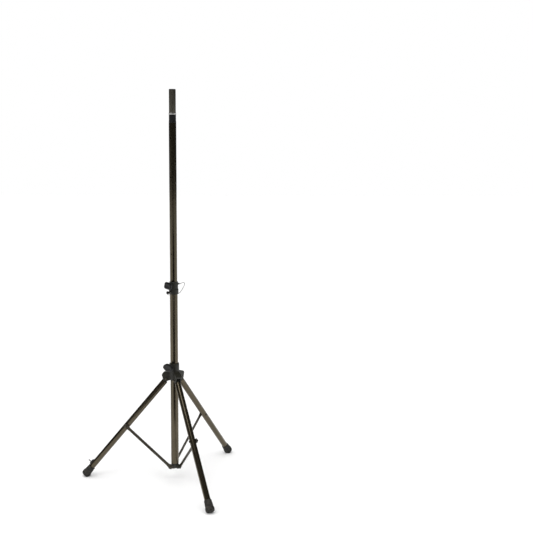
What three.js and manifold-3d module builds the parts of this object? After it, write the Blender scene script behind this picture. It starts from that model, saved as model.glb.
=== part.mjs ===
// A telescoping speaker stand: a mast in an outer tube, a sliding hub with three folding legs and their
// struts, a clamp knob at each collar, a locking pin on a wire lanyard, and one leg with a levelling foot.
// Millimetres, +Z up. The origin is the point on the floor straight under the mast's axis.

import * as THREE from 'three';
import { mergeVertices } from 'three/addons/utils/BufferGeometryUtils.js';
import Module from 'manifold-3d';

const wasm = await Module();
wasm.setup();

// ---------------------------------------------------------------- driving dimensions

const GAP = 0.3;                      // between pieces that touch
const DEGREE = Math.PI / 180;

const MAST_RADIUS = 19.05;            // 1 1/2 inch tube
const MAST_WALL = 1.5;
const MAST_BOTTOM = 942;
const MAST_TOP = 1912;
const MAST_HOLE_PITCH = 200;
const MAST_HOLES = 5;

const SPIGOT_RADIUS = 17.45;          // 1 3/8 inch, the standard speaker socket
const SPIGOT_WALL = 2.2;
const SPIGOT_TOP = 2078;
const RING_BOTTOM = 1953;
const RING_TOP = 1962;
const STAND_TOP = 2082;

const TUBE_RADIUS = 20.65;            // 1 5/8 inch tube
const TUBE_WALL = 1.25;
const TUBE_BOTTOM = 90.3;
const TUBE_TOP = 1052;

const COLLAR_BOTTOM = 1021;
const COLLAR_TOP = 1084;
const COLLAR_RADIUS = 25.2;
const COLLAR_NECK_RADIUS = 23.2;
const MAST_CLAMP_Z = 1070;
const LOCK_PIN_Z = 1034;
const LOCK_PIN_RADIUS = 3;

const HUB_TOP = 648;
const HUB_BOTTOM = 556;
const HUB_BORE = TUBE_RADIUS + 2.4;   // the hub floats on the tube until its clamp is done up
const HUB_RADIUS = 26.4;
const HUB_CLAMP_Z = 631;
const EAR_HALF = 16;                  // half the width of a pair of ears
const EAR_REACH = 65;                 // from the axis to the ears' outer end
const EAR_LOBE = 14;                  // radius of the ears' rounded ends
const EAR_TOP = 43;                   // above the leg pivot, where the ears' back meets the sleeve
const EAR_HIGH = 21;                  // the upper rounded end's middle, above the leg pivot

const CLAMP_AZIMUTH = 210;            // between the front and left legs
const LANYARD_AZIMUTH = 330;          // between the front and right legs
const LANYARD_Z = 1076;

const LEGS = [
  { name: 'front', azimuth: 270, levelling: false, slack: false },
  { name: 'right', azimuth: 30, levelling: false, slack: true },
  { name: 'left', azimuth: 150, levelling: true, slack: true },
];
const LEG_ANGLE = 39.5;               // from vertical
const LEG_SIN = Math.sin(LEG_ANGLE * DEGREE);
const LEG_COS = Math.cos(LEG_ANGLE * DEGREE);
const LEG_RADIUS = 15.875;            // 1 1/4 inch tube
const LEG_WALL = 1.3;
const LEG_PIVOT_R = 40;
const LEG_PIVOT_Z = 561;
const LEG_TUBE_START = 18;            // along the leg from its pivot
const LEG_TUBE_END = 690;
const STRUT_BOLT_AT = 345;
const LUG_HALF = 8;
const LUG_RADIUS = 11;
const PIVOT_BOLT_RADIUS = 4;
const PIVOT_SLACK = 3.6;              // in the two lugs where the folding loop is open
const SLOT_DEEP = 3.3;                // room behind a lug's round end, for the same drift
const SLOT_SIDE = 2.3;                // room on each side of a lug's tongue

const FOOT_START = 656;
const FOOT_END = 718;

const STRUT_PIVOT_R = 21;
const STRUT_PIVOT_Z = 73;
const STRUT_WIDTH = 15;
const STRUT_EYE_RADIUS = 12;
const STRUT_EYE_CORNER = 0.17;        // where the eye's arc ends below its middle, in half turns
const STRUT_NECK = 26;                // from the eye's middle to the bar's full length
const STRUT_INNER = 18.5;             // the strut lies beside the leg, this far from its mid-plane
const STRUT_OUTER = 23.5;

const LEVELLING_TUBE_END = 648;
const LEVELLING_PIN_AT = 638;
const INNER_LEG_RADIUS = 14.2;
const INNER_LEG_WALL = 1.3;
const INNER_LEG_START = 440;
const LEVELLING_HOLE_PITCH = 30;
const LEVELLING_HOLES = 6;

const ROUND = 24;                     // sides on a tube
const SMALL_ROUND = 12;               // sides on a bolt or bore
const HOLE_SIDES = 10;                // sides on a hole drilled through a tube's wall

// ---------------------------------------------------------------- finishes

const finish = (color, roughness, metalness) => ({ color, roughness, metalness });
const BLACK_TUBE = finish(0x1d1b18, 0.35, 0.6);
const WARM_TUBE = finish(0x3a342b, 0.4, 0.6);
const BLACK_CASTING = finish(0x161614, 0.45, 0.2);
const BLACK_PLASTIC = finish(0x121212, 0.5, 0);
const RUBBER = finish(0x1a1917, 0.85, 0);
const STEEL = finish(0xb8b6b0, 0.3, 1);
const BLACK_STEEL = finish(0x24221f, 0.4, 0.8);
const NYLON = finish(0x2a2a28, 0.6, 0);
const WIRE = finish(0x9a9a96, 0.35, 0.9);

// ---------------------------------------------------------------- shapes

function toSolid(geometry) {
  const bare = geometry.clone();
  bare.deleteAttribute('normal');
  bare.deleteAttribute('uv');
  const merged = mergeVertices(bare, 1e-4);
  return new wasm.Manifold(new wasm.Mesh({
    numProp: 3,
    vertProperties: new Float32Array(merged.attributes.position.array),
    triVerts: new Uint32Array(merged.index.array),
  }));
}

function toGeometry(solid) {
  const { vertProperties, triVerts } = solid.getMesh();
  const geometry = new THREE.BufferGeometry();
  geometry.setAttribute('position', new THREE.BufferAttribute(vertProperties, 3));
  geometry.setIndex(new THREE.BufferAttribute(triVerts, 1));
  geometry.computeVertexNormals();
  return geometry;
}

const join = (first, ...others) => others.reduce((whole, other) => whole.add(other), first);
const cut = (first, ...others) => others.reduce((whole, other) => whole.subtract(other), first);

// A profile of [radius, height] points turned about Z.
function turned(profile, sides = ROUND) {
  const points = profile.map(([radius, height]) => new THREE.Vector2(radius, height));
  points.push(points[0].clone());
  return new THREE.LatheGeometry(points, sides).rotateX(Math.PI / 2);
}

const rod = (radius, low, high, sides = SMALL_ROUND) => turned(
  [[0, low], [radius, low], [radius, high], [0, high]], sides);

const pipe = (outer, inner, low, high, sides = ROUND) => turned(
  [[inner, low], [outer, low], [outer, high], [inner, high]], sides);

// The same rod lying along X or Y.
const rodX = (radius, low, high, sides = SMALL_ROUND) => rod(radius, low, high, sides).rotateY(Math.PI / 2);
const rodY = (radius, low, high, sides = SMALL_ROUND) => rod(radius, low, high, sides).rotateX(-Math.PI / 2);

function block(low, high) {
  const size = low.map((value, i) => high[i] - value);
  const middle = low.map((value, i) => (high[i] + value) / 2);
  return new THREE.BoxGeometry(...size).translate(...middle);
}

// A flat outline in X and Z, given thickness along Y from low to high.
function plateXZ(shape, low, high, curveSegments = 6) {
  const settings = { depth: high - low, bevelEnabled: false, curveSegments };
  return new THREE.ExtrudeGeometry(shape, settings).rotateX(Math.PI / 2).translate(0, high, 0);
}

// A round eye: a rod across the plane of X and Z.
const eye = (radius, x, z, low, high) => rodY(radius, low, high, 18).translate(x, 0, z);

const turn = (geometry, azimuth) => geometry.rotateZ(azimuth * DEGREE);

// ---------------------------------------------------------------- the tree of named pieces

const stand = new THREE.Group();

function group(parent, x = 0, y = 0, z = 0, rotateY = 0) {
  const made = new THREE.Group();
  made.position.set(x, y, z);
  made.rotation.y = rotateY;
  parent.add(made);
  return made;
}

function piece(parent, name, shape, look) {
  const geometry = shape.isBufferGeometry ? shape : toGeometry(shape);
  const mesh = new THREE.Mesh(geometry, new THREE.MeshStandardMaterial(look));
  mesh.name = name;
  parent.add(mesh);
}

// A group whose X axis points outward at an azimuth, on the mast's axis.
function facing(azimuth) {
  const made = group(stand);
  made.rotation.z = azimuth * DEGREE;
  return made;
}

// ---------------------------------------------------------------- mast and spigot

function addMast() {
  let mast = toSolid(pipe(MAST_RADIUS, MAST_RADIUS - MAST_WALL, MAST_BOTTOM, MAST_TOP));
  for (let hole = 0; hole < MAST_HOLES; hole += 1) {
    const drill = rodX(LOCK_PIN_RADIUS + 0.4, 0, 2 * MAST_RADIUS, HOLE_SIDES);
    drill.translate(0, 0, LOCK_PIN_Z + hole * MAST_HOLE_PITCH);
    mast = cut(mast, toSolid(turn(drill, CLAMP_AZIMUTH)));
  }
  piece(stand, 'inner_mast', mast, BLACK_TUBE);

  const bore = MAST_RADIUS - MAST_WALL - GAP;
  piece(stand, 'mast_glide', turned([
    [8, MAST_BOTTOM - 8],
    [MAST_RADIUS - 0.6, MAST_BOTTOM - 8],
    [MAST_RADIUS, MAST_BOTTOM - 7],
    [MAST_RADIUS, MAST_BOTTOM - GAP],
    [bore, MAST_BOTTOM - GAP],
    [bore, MAST_BOTTOM + 26],
    [bore - 2, MAST_BOTTOM + 28],
    [8, MAST_BOTTOM + 28],
  ]), NYLON);

  const insideRadius = SPIGOT_RADIUS - SPIGOT_WALL;
  piece(stand, 'speaker_spigot', turned([
    [insideRadius, MAST_TOP - 45],
    [bore, MAST_TOP - 45],
    [bore, RING_TOP + GAP],
    [SPIGOT_RADIUS, RING_TOP + GAP],
    [SPIGOT_RADIUS, SPIGOT_TOP],
    [insideRadius, SPIGOT_TOP],
  ]), BLACK_TUBE);

  piece(stand, 'trim_ring', turned([
    [bore + GAP, RING_BOTTOM],
    [18.4, RING_BOTTOM],
    [19, RING_BOTTOM + 0.8],
    [19, RING_TOP - 0.8],
    [18.4, RING_TOP],
    [bore + GAP, RING_TOP],
  ]), STEEL);

  piece(stand, 'spigot_shoulder', turned([
    [bore + GAP, MAST_TOP + GAP],
    [MAST_RADIUS, MAST_TOP + GAP],
    [MAST_RADIUS, MAST_TOP + 4],
    [18.2, MAST_TOP + 13],
    [18.2, RING_BOTTOM - GAP],
    [bore + GAP, RING_BOTTOM - GAP],
  ]), BLACK_PLASTIC);

  piece(stand, 'spigot_cap', turned([
    [0, SPIGOT_TOP - 18],
    [insideRadius - GAP, SPIGOT_TOP - 18],
    [insideRadius - GAP, SPIGOT_TOP + GAP],
    [SPIGOT_RADIUS, SPIGOT_TOP + GAP],
    [SPIGOT_RADIUS, STAND_TOP - 1.6],
    [SPIGOT_RADIUS - 1.6, STAND_TOP],
    [0, STAND_TOP],
  ]), BLACK_PLASTIC);
}

// ---------------------------------------------------------------- outer tube and its collar

function addOuterTube() {
  const pinDrill = turn(rodX(LOCK_PIN_RADIUS + 0.4, 0, 2 * TUBE_RADIUS, HOLE_SIDES), CLAMP_AZIMUTH);
  pinDrill.translate(0, 0, LOCK_PIN_Z);
  const tube = toSolid(pipe(TUBE_RADIUS, TUBE_RADIUS - TUBE_WALL, TUBE_BOTTOM, TUBE_TOP));
  piece(stand, 'main_tube', cut(tube, toSolid(pinDrill)), WARM_TUBE);
}

function addCollar() {
  const sleeveBore = TUBE_RADIUS + GAP;
  const bushBore = 20.9;
  const shell = toSolid(turned([
    [sleeveBore, COLLAR_BOTTOM],
    [COLLAR_RADIUS - 1.5, COLLAR_BOTTOM],
    [COLLAR_RADIUS, COLLAR_BOTTOM + 1.5],
    [COLLAR_RADIUS, TUBE_TOP - 7],
    [COLLAR_RADIUS - 0.8, TUBE_TOP - 4],
    [COLLAR_NECK_RADIUS, TUBE_TOP - 2],
    [COLLAR_NECK_RADIUS, COLLAR_TOP - 1],
    [COLLAR_NECK_RADIUS - 1, COLLAR_TOP],
    [bushBore, COLLAR_TOP],
    [bushBore, TUBE_TOP + 1],
    [sleeveBore, TUBE_TOP + 1],
  ]));
  const clampBoss = rodX(10, 21.5, 31, 18).translate(0, 0, MAST_CLAMP_Z);
  const pinBoss = rodX(7, 22, 29, 16).translate(0, 0, LOCK_PIN_Z);
  const clampBore = rodX(4.4, 15, 35).translate(0, 0, MAST_CLAMP_Z);
  const pinBore = rodX(LOCK_PIN_RADIUS + 0.4, 15, 35).translate(0, 0, LOCK_PIN_Z);
  const lanyardBoss = rodX(5.5, 21.5, 27, 12).translate(0, 0, LANYARD_Z);
  const lanyardBore = rodX(2.3, 22.2, 30, HOLE_SIDES).translate(0, 0, LANYARD_Z);
  const collar = cut(
    join(
      shell,
      toSolid(turn(clampBoss, CLAMP_AZIMUTH)),
      toSolid(turn(pinBoss, CLAMP_AZIMUTH)),
      toSolid(turn(lanyardBoss, LANYARD_AZIMUTH)),
    ),
    toSolid(turn(clampBore, CLAMP_AZIMUTH)),
    toSolid(turn(pinBore, CLAMP_AZIMUTH)),
    toSolid(turn(lanyardBore, LANYARD_AZIMUTH)),
  );
  piece(stand, 'mast_collar', collar, BLACK_CASTING);

  const bush = toSolid(turned([
    [MAST_RADIUS + GAP, TUBE_TOP + 1.5],
    [bushBore - GAP, TUBE_TOP + 1.5],
    [bushBore - GAP, COLLAR_TOP + GAP],
    [22.2, COLLAR_TOP + GAP],
    [22.2, COLLAR_TOP + 2.4],
    [21.6, COLLAR_TOP + 3],
    [MAST_RADIUS + GAP, COLLAR_TOP + 3],
  ]));
  const padHole = turn(rodX(4.6, 15, 24).translate(0, 0, MAST_CLAMP_Z), CLAMP_AZIMUTH);
  piece(stand, 'collar_bush', cut(bush, toSolid(padHole)), NYLON);
}

// ---------------------------------------------------------------- clamp knobs

// A wing with a round boss behind it, on an axis along X, with a blind bore for its screw. The bluntness
// squares the wing's outline below 1 and points it above 1, and the taper makes it narrower at its top.
function knob({ length, height, bluntness, taper, thickness, tilt, from }) {
  const outline = new THREE.Shape();
  const points = 20;
  for (let i = 0; i < points; i += 1) {
    const angle = (2 * Math.PI * i) / points;
    const blunt = (value, exponent) => Math.sign(value) * Math.abs(value) ** exponent;
    const up = blunt(Math.sin(angle), bluntness[1]);
    const x = (length / 2) * blunt(Math.cos(angle), bluntness[0]) * (1 - taper * up);
    const y = (height / 2) * up;
    if (i === 0) outline.moveTo(x, y);
    else outline.lineTo(x, y);
  }
  const wing = new THREE.ExtrudeGeometry(outline, {
    depth: thickness - 4,
    bevelThickness: 2,
    bevelSize: 2,
    bevelOffset: -2,
    bevelSegments: 1,
  });
  // the outline's X runs sideways and its Y runs up, once it faces along X
  wing.rotateZ(tilt * DEGREE).rotateX(Math.PI / 2).rotateZ(Math.PI / 2).translate(from + 10, 0, 0);
  const boss = rodX(10, from, from + 12, 16);
  const bore = rodX(4.2, from - 2, from + 14);
  return cut(join(toSolid(wing), toSolid(boss)), toSolid(bore));
}

function addClamp(prefix, z, padFrom, padTo, knobFrom, knobShape) {
  const clamp = facing(CLAMP_AZIMUTH);
  const at = group(clamp, 0, 0, z);
  piece(at, `${prefix}_clamp_pad`, rodX(4.1, padFrom, padTo), NYLON);
  piece(at, `${prefix}_clamp_screw`, rodX(3.9, padTo + GAP, knobFrom + 13.5), BLACK_STEEL);
  piece(at, `${prefix}_clamp_knob`, knob({ ...knobShape, from: knobFrom }), BLACK_PLASTIC);
}

// ---------------------------------------------------------------- locking pin and lanyard

function addLockPin() {
  const at = group(facing(CLAMP_AZIMUTH), 0, 0, LOCK_PIN_Z);
  const tip = MAST_RADIUS + 0.5;
  const pin = turned([
    [0, tip],
    [LOCK_PIN_RADIUS - 0.8, tip],
    [LOCK_PIN_RADIUS, tip + 0.9],
    [LOCK_PIN_RADIUS, 48],
    [0, 48],
  ], SMALL_ROUND).rotateY(Math.PI / 2);
  piece(at, 'lock_pin', pin, STEEL);

  const ball = toSolid(new THREE.SphereGeometry(8, 14, 9).translate(49, 0, 0));
  const stem = toSolid(rodX(4.6, 37, 45));
  const socket = toSolid(rodX(LOCK_PIN_RADIUS + GAP, 30, 48.4));
  piece(at, 'lock_pin_knob', cut(join(ball, stem), socket), BLACK_PLASTIC);

  const ring = turned([[3.4, 32], [5.2, 32], [5.2, 35.5], [3.4, 35.5]], SMALL_ROUND).rotateY(Math.PI / 2);
  piece(at, 'lanyard_ring', ring, STEEL);
}

// The wire leaves its screw to the right of the collar, bows out, hangs and passes behind the tube to the
// ring on the locking pin.
const LANYARD_RADIUS = 1.2;
const LANYARD_ROUTE = [
  [30.6, -17.7, 1076.5], [37, -20, 1079.6], [44, -20.6, 1081.8], [50.5, -18.8, 1081.4],
  [55.2, -15.2, 1076], [56, -11, 1067], [53.6, -5.5, 1056.5], [50.2, 0.5, 1046], [46.5, 7, 1035.5],
  [42, 14, 1025.5], [35.5, 21.5, 1017], [26, 28.8, 1011], [14, 33.8, 1007.8], [1, 35.3, 1007.5],
  [-11.5, 33.2, 1009.8], [-22, 27.5, 1014], [-29.8, 18.8, 1019.8], [-34.3, 8.5, 1026],
  [-35.6, -1.5, 1031.2], [-33.8, -9.8, 1034],
];

function addLanyard() {
  const at = group(facing(LANYARD_AZIMUTH), 0, 0, LANYARD_Z);
  const shank = toSolid(rodX(2, 23, 32, HOLE_SIDES));
  const head = toSolid(turned([
    [0, 31.5], [4.6, 31.5], [4.6, 33], [3.4, 34.4], [0, 34.8],
  ], SMALL_ROUND).rotateY(Math.PI / 2));
  piece(at, 'lanyard_screw', join(shank, head), STEEL);

  const route = new THREE.CatmullRomCurve3(LANYARD_ROUTE.map((point) => new THREE.Vector3(...point)));
  const section = new THREE.Shape();
  section.absarc(0, 0, LANYARD_RADIUS, 0, 2 * Math.PI);
  const wire = new THREE.ExtrudeGeometry(section, { steps: 36, curveSegments: 4, extrudePath: route });
  piece(stand, 'lanyard_wire', toSolid(wire), WIRE);
}

// ---------------------------------------------------------------- hub

// A pair of ears in side view, above and below the leg pivot: a sloping back and two rounded ends.
function earOutline() {
  const root = HUB_BORE - 4;
  const lowLobe = LEG_PIVOT_R + 6;
  const highLobe = EAR_REACH - EAR_LOBE;
  const outline = new THREE.Shape();
  outline.moveTo(root, -5);
  outline.absarc(lowLobe, 1, EAR_LOBE, -0.55 * Math.PI, 0, false);
  outline.absarc(highLobe, EAR_HIGH, EAR_LOBE, 0, 0.42 * Math.PI, false);
  outline.lineTo(HUB_RADIUS + 3, EAR_TOP);
  outline.lineTo(root, EAR_TOP);
  return outline;
}

function hubEar() {
  const ears = toSolid(plateXZ(earOutline(), -EAR_HALF, EAR_HALF).translate(0, 0, LEG_PIVOT_Z));
  const reach = LUG_RADIUS + SLOT_DEEP;
  const slotHalf = LUG_HALF + SLOT_SIDE;
  const low = LEG_PIVOT_Z - 40;
  const slot = join(
    toSolid(block([LEG_PIVOT_R - reach, -slotHalf, low], [70, slotHalf, LEG_PIVOT_Z])),
    toSolid(eye(reach, LEG_PIVOT_R, LEG_PIVOT_Z, -slotHalf, slotHalf)),
    toSolid(block([LEG_PIVOT_R, -slotHalf, low], [70, slotHalf, LEG_PIVOT_Z + LUG_RADIUS + 1.4])),
  );
  const bolt = toSolid(eye(PIVOT_BOLT_RADIUS + GAP, LEG_PIVOT_R, LEG_PIVOT_Z, -20, 20));
  return { ears, cuts: [slot, bolt] };
}

function addHub() {
  let hub = toSolid(turned([
    [0, HUB_BOTTOM],
    [HUB_RADIUS, HUB_BOTTOM],
    [HUB_RADIUS, HUB_TOP - 14],
    [HUB_RADIUS - 0.8, HUB_TOP - 3],
    [HUB_RADIUS - 2, HUB_TOP],
    [0, HUB_TOP],
  ]));
  const ear = hubEar();
  const boss = rodX(11, 15, 34, 18).translate(0, 0, HUB_CLAMP_Z);
  const screwBore = rodX(4.4, 15, 40).translate(0, 0, HUB_CLAMP_Z);
  for (const { azimuth } of LEGS) hub = join(hub, ear.ears.rotate([0, 0, azimuth]));
  hub = join(hub, toSolid(turn(boss, CLAMP_AZIMUTH)));
  for (const { azimuth } of LEGS) {
    for (const part of ear.cuts) hub = cut(hub, part.rotate([0, 0, azimuth]));
  }
  const bore = toSolid(rod(HUB_BORE, HUB_BOTTOM - 30, HUB_TOP + 30, ROUND));
  piece(stand, 'hub_body', cut(hub, bore, toSolid(turn(screwBore, CLAMP_AZIMUTH))), BLACK_CASTING);
}

// ---------------------------------------------------------------- legs

// Fasteners across a leg lie along Y: a domed head on the -Y side, and a cap nut on the +Y side.
function boltAcross(parent, name, x, z, radius, head, low, high) {
  const shank = toSolid(rodY(radius, low - 0.5, high));
  const dome = toSolid(turned([
    [0, low - 3.6], [head * 0.62, low - 3], [head, low - 1.4], [head, low], [0, low],
  ], SMALL_ROUND).rotateX(-Math.PI / 2));
  piece(parent, name, toGeometry(join(shank, dome)).translate(x, 0, z), BLACK_STEEL);
}

function nutAcross(parent, name, x, z, radius, low, high) {
  const body = toSolid(rod(radius, low, high - 2, 6));
  const dome = toSolid(turned([
    [0, high - 3], [radius * 0.78, high - 3], [radius * 0.72, high - 0.8], [radius * 0.3, high], [0, high],
  ], 12));
  const bore = toSolid(rod(PIVOT_BOLT_RADIUS + GAP, low - 2, high - 2.4));
  const nut = toGeometry(cut(join(body, dome), bore));
  piece(parent, name, nut.rotateX(-Math.PI / 2).translate(x, 0, z), BLACK_STEEL);
}

function addLegLug(leg, { name, slack }) {
  const holeRadius = PIVOT_BOLT_RADIUS + (slack ? PIVOT_SLACK : GAP);
  const plugRadius = LEG_RADIUS - LEG_WALL - GAP;
  const tongue = join(
    toSolid(rodY(LUG_RADIUS, -LUG_HALF, LUG_HALF, 18)),
    toSolid(block([-LUG_RADIUS, -LUG_HALF, 0], [LUG_RADIUS, LUG_HALF, LEG_TUBE_START + 6])),
    toSolid(rod(plugRadius, LEG_TUBE_START + 1, LEG_TUBE_START + 40, ROUND)),
  );
  piece(leg, `leg_lug_${name}`, cut(tongue, toSolid(rodY(holeRadius, -20, 20))), BLACK_CASTING);
}

// The tube's own Z runs down the leg, and its -X side faces up and out.
function addLegTube(leg, { name, levelling }) {
  const end = levelling ? LEVELLING_TUBE_END : LEG_TUBE_END;
  const boltHole = rodY(PIVOT_BOLT_RADIUS + GAP, -30, 30).translate(0, 0, STRUT_BOLT_AT);
  let tube = cut(
    toSolid(pipe(LEG_RADIUS, LEG_RADIUS - LEG_WALL, LEG_TUBE_START, end)),
    toSolid(boltHole),
  );
  if (levelling) {
    const pinHole = rodX(3.5, -30, 0, HOLE_SIDES).translate(0, 0, LEVELLING_PIN_AT);
    tube = cut(tube, toSolid(pinHole));
  }
  piece(leg, `leg_tube_${name}`, tube, WARM_TUBE);
}

// A rubber boot, wider at its end, with a rolled ring, cut flat where it stands on the floor.
function addFoot(leg, { name }, tubeRadius) {
  const from = FOOT_START;
  const end = FOOT_END;
  const bore = tubeRadius + GAP;
  const boot = toSolid(turned([
    [0, LEG_TUBE_END + GAP],
    [bore, LEG_TUBE_END + GAP],
    [bore, from],
    [LEG_RADIUS + 2, from],
    [LEG_RADIUS + 2.9, from + 1.4],
    [LEG_RADIUS + 3.2, from + 8],
    [LEG_RADIUS + 5.0, from + 31],
    [LEG_RADIUS + 4.2, from + 33.5],
    [LEG_RADIUS + 5.4, from + 36],
    [LEG_RADIUS + 7.2, from + 39],
    [LEG_RADIUS + 7.4, end - 9],
    [LEG_RADIUS + 6.2, end - 4.2],
    [LEG_RADIUS + 2.4, end - 1.2],
    [LEG_RADIUS - 5, end],
    [0, end],
  ], 20));
  // the floor in the leg's own frame: everything below it is cut away
  const floor = new THREE.BoxGeometry(200, 200, 60).translate(0, 0, -30);
  floor.translate(LEG_SIN * end, 0, -LEG_PIVOT_Z);
  floor.applyMatrix4(leg.matrix.clone().setPosition(0, 0, 0).invert());
  piece(leg, `leg_foot_${name}`, cut(boot, toSolid(floor)), RUBBER);
}

function addLevellingParts(leg) {
  let inner = toSolid(pipe(
    INNER_LEG_RADIUS, INNER_LEG_RADIUS - INNER_LEG_WALL, INNER_LEG_START, LEG_TUBE_END));
  for (let hole = 0; hole < LEVELLING_HOLES; hole += 1) {
    const drill = rodX(3.5, -30, 0, HOLE_SIDES);
    drill.translate(0, 0, LEVELLING_PIN_AT - hole * LEVELLING_HOLE_PITCH);
    inner = cut(inner, toSolid(drill));
  }
  piece(leg, 'levelling_inner_leg', inner, BLACK_TUBE);

  // a saddle over the tube's upper side that houses the pin and its spring
  const low = LEVELLING_PIN_AT - 20;
  const high = LEVELLING_PIN_AT + 9;
  const saddle = cut(
    toSolid(turned([
      [0, low], [17.5, low], [22.4, low + 7], [23.6, low + 12], [23.6, high - 4], [22.6, high], [0, high],
    ])).intersect(toSolid(block([-30, -10, low], [-11, 10, high]))),
    toSolid(rod(LEG_RADIUS + GAP, low - 5, high + 5, ROUND)),
    toSolid(rodX(5.6, -22.4, -14).translate(0, 0, LEVELLING_PIN_AT)),
    toSolid(rodX(3.4, -30, -14, HOLE_SIDES).translate(0, 0, LEVELLING_PIN_AT)),
  );
  piece(leg, 'levelling_pin_housing', saddle, BLACK_PLASTIC);

  const pin = turned([
    [0, 14.5], [2.6, 14.5], [3.1, 15.2], [3.1, 19], [5.2, 19], [5.2, 19.8],
    [3.1, 19.8], [3.1, 33.4], [3.9, 34], [3.9, 37], [3.2, 37.8], [0, 37.8],
  ], SMALL_ROUND).rotateY(-Math.PI / 2).translate(0, 0, LEVELLING_PIN_AT);
  piece(leg, 'levelling_pin', pin, STEEL);

  // the spring at its compressed length, between the pin's collar and the housing's roof
  const turns = 2;
  const coil = new THREE.CatmullRomCurve3(Array.from({ length: 25 }, (_, i) => {
    const angle = (2 * Math.PI * turns * i) / 24;
    return new THREE.Vector3(-20.6 - (1.3 * i) / 24, 4.4 * Math.cos(angle), 4.4 * Math.sin(angle));
  }));
  const section = new THREE.Shape();
  section.absarc(0, 0, 0.3, 0, 2 * Math.PI);
  const spring = new THREE.ExtrudeGeometry(section, { steps: 22, curveSegments: 3, extrudePath: coil });
  piece(leg, 'levelling_spring', toSolid(spring.translate(0, 0, LEVELLING_PIN_AT)), STEEL);
}

function addLeg(leg) {
  const side = facing(leg.azimuth);
  const pivot = group(side, LEG_PIVOT_R, 0, LEG_PIVOT_Z);
  boltAcross(pivot, `leg_pivot_bolt_${leg.name}`, 0, 0, PIVOT_BOLT_RADIUS, 6.6, -16.3, 20.5);
  nutAcross(pivot, `leg_pivot_nut_${leg.name}`, 0, 0, 7, 16.3, 23.6);

  const down = group(side, LEG_PIVOT_R, 0, LEG_PIVOT_Z, Math.PI - LEG_ANGLE * DEGREE);
  down.updateMatrix();
  addLegLug(down, leg);
  addLegTube(down, leg);
  if (leg.levelling) addLevellingParts(down);
  addFoot(down, leg, leg.levelling ? INNER_LEG_RADIUS : LEG_RADIUS);

  const washer = pipe(11, PIVOT_BOLT_RADIUS + GAP, LEG_RADIUS + GAP, STRUT_INNER - GAP, 18);
  washer.rotateX(-Math.PI / 2).translate(0, 0, STRUT_BOLT_AT);
  piece(down, `strut_washer_${leg.name}`, washer, NYLON);
  boltAcross(down, `strut_bolt_${leg.name}`, 0, STRUT_BOLT_AT,
    PIVOT_BOLT_RADIUS, 6.2, -LEG_RADIUS - GAP, STRUT_OUTER + 4);
  nutAcross(down, `strut_nut_${leg.name}`, 0, STRUT_BOLT_AT, 6.8, STRUT_OUTER + GAP, STRUT_OUTER + 7);
}

// ---------------------------------------------------------------- struts and bottom bracket

const STRUT_RUN = LEG_PIVOT_R + STRUT_BOLT_AT * LEG_SIN - STRUT_PIVOT_R;
const STRUT_RISE = LEG_PIVOT_Z - STRUT_BOLT_AT * LEG_COS - STRUT_PIVOT_Z;
const STRUT_LENGTH = Math.hypot(STRUT_RUN, STRUT_RISE);

function addStrut({ name, azimuth }) {
  const low = group(facing(azimuth), STRUT_PIVOT_R, 0, STRUT_PIVOT_Z, Math.atan2(STRUT_RUN, STRUT_RISE));
  const half = STRUT_WIDTH / 2;
  const outline = new THREE.Shape();
  const corner = Math.PI * STRUT_EYE_CORNER;
  outline.absarc(0, 0, STRUT_EYE_RADIUS, Math.PI - corner, 2 * Math.PI + corner, false);
  outline.lineTo(half, STRUT_NECK);
  outline.lineTo(half, STRUT_LENGTH - STRUT_NECK);
  outline.absarc(0, STRUT_LENGTH, STRUT_EYE_RADIUS, -corner, Math.PI + corner, false);
  outline.lineTo(-half, STRUT_LENGTH - STRUT_NECK);
  outline.lineTo(-half, STRUT_NECK);
  const bar = cut(
    toSolid(plateXZ(outline, STRUT_INNER, STRUT_OUTER)),
    toSolid(eye(PIVOT_BOLT_RADIUS + GAP, 0, 0, 0, 40)),
    toSolid(eye(PIVOT_BOLT_RADIUS + GAP, 0, STRUT_LENGTH, 0, 40)),
  );
  piece(low, `strut_${name}`, bar, BLACK_STEEL);
  const at = group(facing(azimuth), STRUT_PIVOT_R, 0, STRUT_PIVOT_Z);
  const shank = toSolid(rodY(PIVOT_BOLT_RADIUS, 5, STRUT_OUTER + 1));
  const head = toSolid(turned([
    [0, STRUT_OUTER + GAP], [6.4, STRUT_OUTER + GAP], [6.4, STRUT_OUTER + 2], [4, STRUT_OUTER + 3.6],
    [0, STRUT_OUTER + 4],
  ], SMALL_ROUND).rotateX(-Math.PI / 2));
  piece(at, `bracket_pin_${name}`, join(shank, head), BLACK_STEEL);
}

function addBracket() {
  const z = STRUT_PIVOT_Z;
  let bracket = toSolid(turned([
    [0, z - 11],
    [12, z - 11],
    [17.6, z - 7],
    [17.6, z + 14],
    [TUBE_RADIUS, z + 15],
    [TUBE_RADIUS, TUBE_BOTTOM - GAP],
    [TUBE_RADIUS - TUBE_WALL - GAP, TUBE_BOTTOM - GAP],
    [TUBE_RADIUS - TUBE_WALL - GAP, TUBE_BOTTOM + 38],
    [TUBE_RADIUS - TUBE_WALL - 3, TUBE_BOTTOM + 41],
    [0, TUBE_BOTTOM + 41],
  ]));
  const lugEdge = STRUT_INNER - GAP;
  for (const { azimuth } of LEGS) {
    const lug = join(
      toSolid(eye(10.5, STRUT_PIVOT_R, z, 4, lugEdge)),
      toSolid(block([0, 4, z - 10.5], [STRUT_PIVOT_R, lugEdge, z + 10.5])),
    );
    bracket = join(bracket, lug.rotate([0, 0, azimuth]));
  }
  for (const { azimuth } of LEGS) {
    const pinHole = toSolid(eye(PIVOT_BOLT_RADIUS + GAP, STRUT_PIVOT_R, z, 4.5, 30));
    bracket = cut(bracket, pinHole.rotate([0, 0, azimuth]));
  }
  piece(stand, 'bottom_bracket', bracket, BLACK_CASTING);
}

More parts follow.
